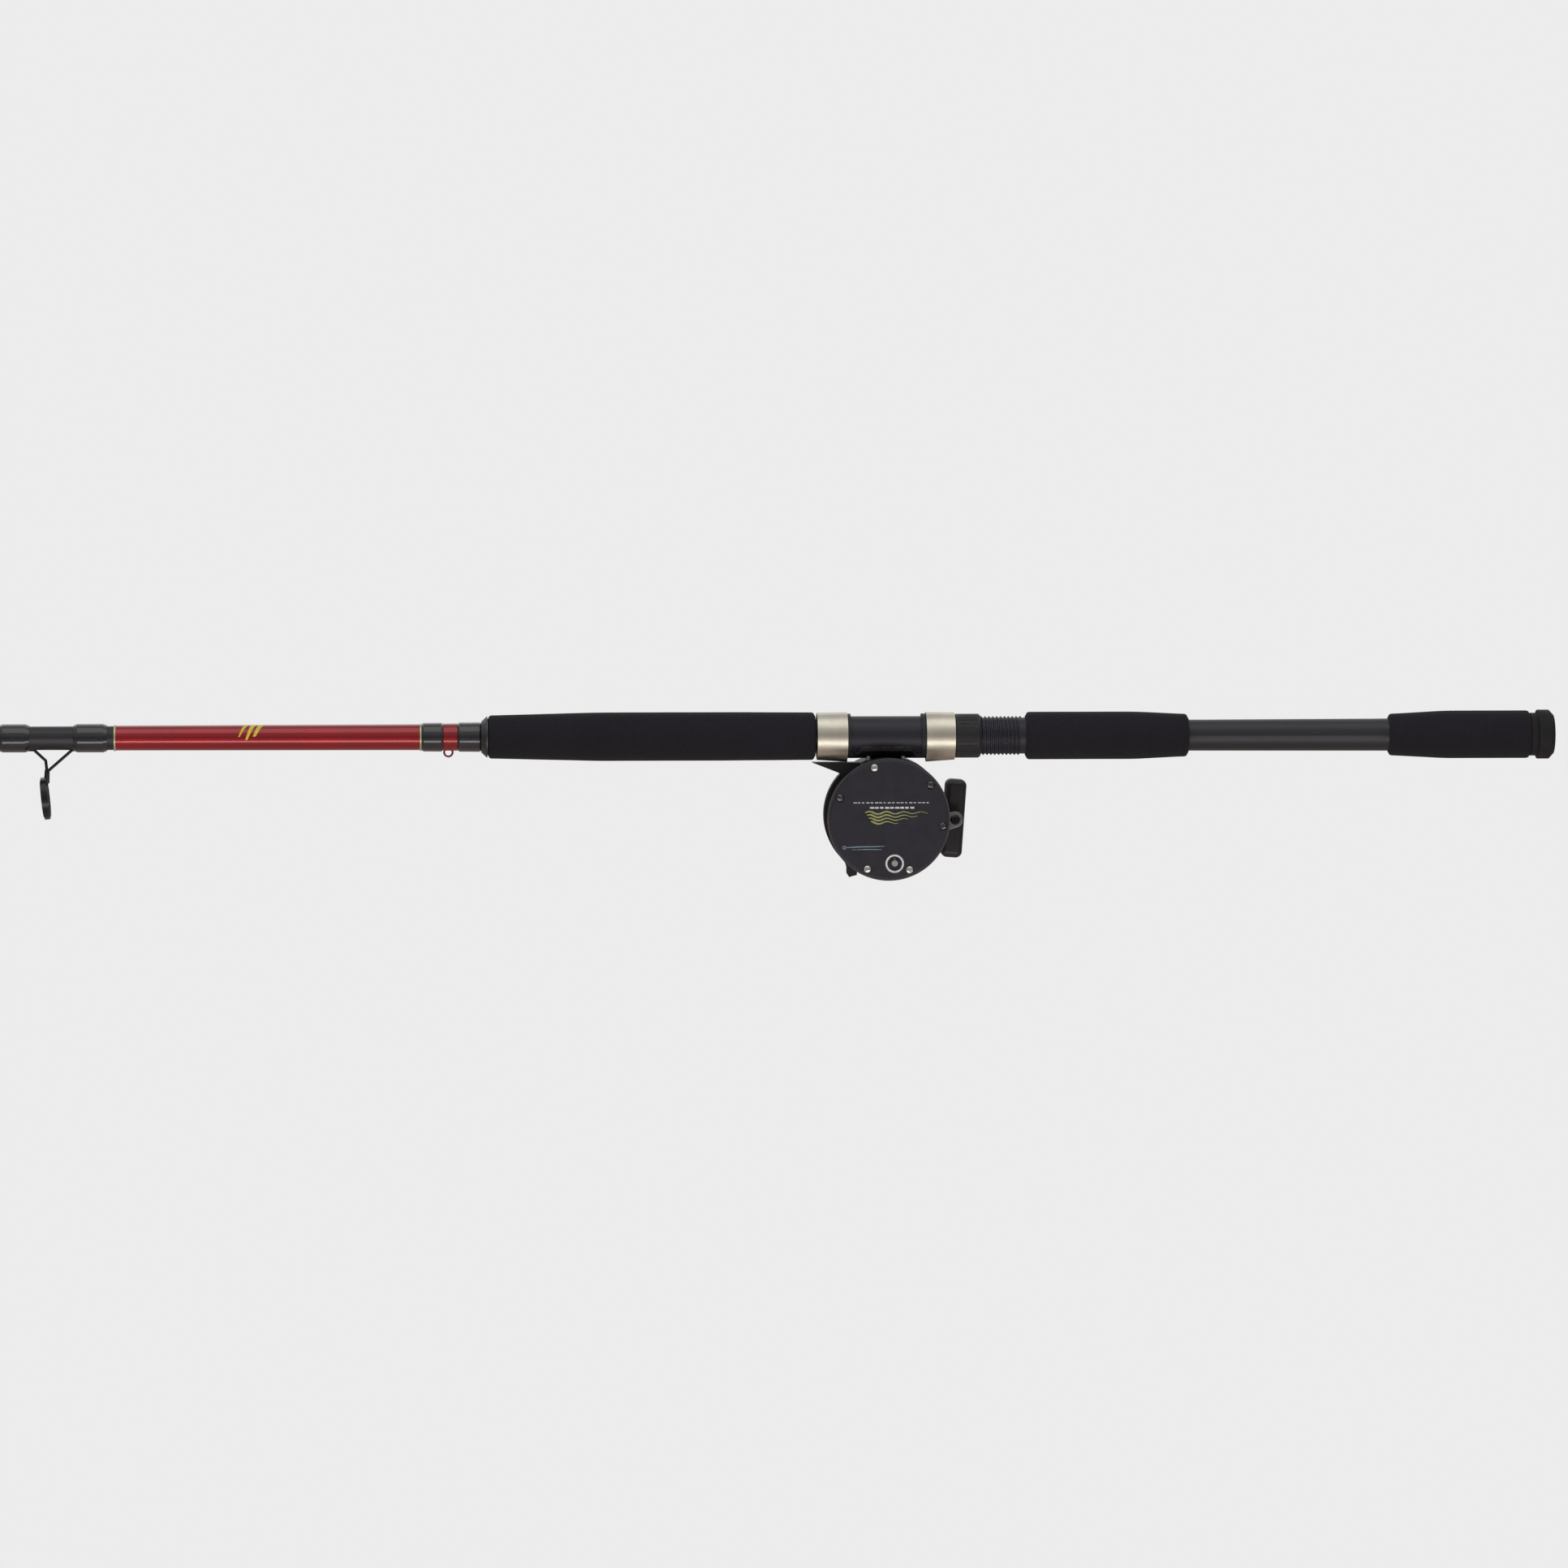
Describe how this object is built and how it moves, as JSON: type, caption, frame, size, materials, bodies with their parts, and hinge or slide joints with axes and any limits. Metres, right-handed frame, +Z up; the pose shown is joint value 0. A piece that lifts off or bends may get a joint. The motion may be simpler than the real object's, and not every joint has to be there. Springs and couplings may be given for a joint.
{
  "type": "fishing rod and reel",
  "caption": "Two-piece boat fishing rod with foam grips, a screw-locked reel seat and a star-drag conventional reel that cranks, free-spools and clicks.",
  "frame": {"origin": "centre of the butt cap's end face", "axes": "+X along the rod's axis out of the butt, so the tip points to -X; +Z up with the reel hanging to -Z; +Y towards the reel's handle side"},
  "size_m": [2.1329, 0.0998, 0.1091],
  "materials": {
    "black_rubber": "matte, moulded",
    "eva_foam": "matte closed-cell foam",
    "black_blank": "satin black lacquer over glass fibre",
    "red_lacquer": "deep red high gloss lacquer",
    "black_wrap": "black thread under glossy epoxy",
    "pale_gold": "polished metallic thread",
    "champagne_metal": "satin champagne",
    "dark_seat": "satin blue-black graphite plastic",
    "black_plastic": "satin black",
    "guide_black": "black coated steel wire",
    "guide_ceramic": "polished dark ceramic",
    "stainless": "brushed",
    "check_grey": "satin grey",
    "frame_black": "fine-grained graphite plastic",
    "plate_charcoal": "satin charcoal",
    "rim_chrome": "polished",
    "screw_steel": "bright",
    "spool_alloy": "dark anodised, turned",
    "gear_brass": "machined",
    "bright_steel": "machined",
    "drag_fibre": "carbon fibre washer",
    "crank_dark": "dark satin plated",
    "knob_black": "soft matte grip",
    "button_silver": "satin chrome"
  },
  "bodies": {
    "rod": {"butt_cap": "black_rubber", "butt_grip": "eva_foam", "rear_grip": "eva_foam", "foregrip": "eva_foam", "butt_blank": "black_blank", "winding_check": "check_grey", "foregrip_wraps": "black_wrap", "red_trim": "red_lacquer", "trim_rings": "pale_gold", "hook_keeper": "stainless", "seat_barrel": "dark_seat", "seat_bushings": "black_plastic", "fixed_hood": "champagne_metal", "fixed_hood_liner": "black_plastic", "reel_foot": "stainless", "foot_rivets": "bright_steel", "guide_1_frame": "guide_black", "stripper_wraps": "black_wrap", "guide_1_ring": "guide_ceramic", "reel_frame": "frame_black", "rim_ring": "rim_chrome", "left_plate": "plate_charcoal", "gear_cover": "frame_black", "reel_screws": "screw_steel", "left_bearing": "bright_steel", "right_bearing": "bright_steel", "gear_bridge": "bright_steel", "yoke_springs": "bright_steel"},
    "tip_section": {"tip_blank": "black_blank", "tip_wraps": "black_wrap", "guide_2_frame": "guide_black", "guide_3_frame": "guide_black", "guide_4_frame": "guide_black", "guide_5_frame": "guide_black", "tip_guide_rings": "guide_ceramic", "tip_top": "guide_black"},
    "seat_hood": {"moving_hood": "champagne_metal", "moving_hood_liner": "black_plastic"},
    "lock_nut": {"lock_nut": "black_plastic"},
    "crank": {"drive_sleeve": "bright_steel", "ratchet_wheel": "bright_steel", "main_gear": "gear_brass", "drag_washers": "drag_fibre", "drag_plates": "bright_steel", "drag_spacer": "bright_steel", "handle_arm": "crank_dark", "handle_nut": "screw_steel", "knob_rivet": "screw_steel"},
    "star": {"star_drag": "frame_black"},
    "knob": {"handle_knob": "knob_black"},
    "spool": {"spool": "spool_alloy", "spool_shaft": "bright_steel", "click_gear": "gear_brass"},
    "pinion": {"pinion": "gear_brass"},
    "yoke": {"yoke": "bright_steel"},
    "lever": {"freespool_lever": "black_plastic", "freespool_cam": "bright_steel"},
    "dog": {"anti_reverse_dog": "bright_steel"},
    "clicker": {"click_button": "button_silver", "click_pawl": "bright_steel"}
  },
  "joints": [
    {"name": "ferrule_slide", "type": "slide", "parent": "rod", "child": "tip_section", "axis": [-1, 0, 0], "range_m": [0, 0.071]},
    {"name": "hood_slide", "type": "slide", "parent": "rod", "child": "seat_hood", "axis": [1, 0, 0], "range_m": [0, 0.01]},
    {"name": "nut_turn", "type": "hinge", "parent": "seat_hood", "child": "lock_nut", "pos_m": [-0.378, 0, 0], "axis": [1, 0, 0], "range_deg": [0, 1450]},
    {"name": "crank_spin", "type": "hinge", "parent": "rod", "child": "crank", "pos_m": [-0.435, 0.04, -0.07096], "axis": [0, 1, 0], "continuous": true},
    {"name": "star_turn", "type": "hinge", "parent": "crank", "child": "star", "pos_m": [-0.435, 0.04, -0.07096], "axis": [0, 1, 0], "range_deg": [-270, 90]},
    {"name": "knob_spin", "type": "hinge", "parent": "crank", "child": "knob", "pos_m": [-0.3825, 0.06, -0.057], "axis": [0, 1, 0], "continuous": true},
    {"name": "spool_spin", "type": "hinge", "parent": "rod", "child": "spool", "pos_m": [-0.43, 0, -0.0523], "axis": [0, 1, 0], "continuous": true},
    {"name": "lever_turn", "type": "hinge", "parent": "rod", "child": "lever", "pos_m": [-0.457, 0.036, -0.0643], "axis": [0, 1, 0], "range_deg": [0, 31]},
    {"name": "yoke_slide", "type": "slide", "parent": "rod", "child": "yoke", "axis": [0, 1, 0], "range_m": [0, 0.0019], "deforming": ["yoke_springs"]},
    {"name": "pinion_spin", "type": "hinge", "parent": "yoke", "child": "pinion", "pos_m": [-0.43, 0.028, -0.0523], "axis": [0, 1, 0], "continuous": true},
    {"name": "dog_tilt", "type": "hinge", "parent": "rod", "child": "dog", "pos_m": [-0.4205, 0.025, -0.07536], "axis": [0, 1, 0], "range_deg": [0, 2]},
    {"name": "click_slide", "type": "slide", "parent": "rod", "child": "clicker", "axis": [0, 0, 1], "range_m": [0, 0.002]}
  ],
  "couplings": [
    {"joint": "nut_turn", "follows": "hood_slide", "rad_per_m": 2513.3},
    {"joint": "spool_spin", "follows": "crank_spin", "ratio": -3.8},
    {"joint": "pinion_spin", "follows": "crank_spin", "ratio": -3.8},
    {"joint": "lever_turn", "follows": "yoke_slide", "rad_per_m": 275.58}
  ]
}
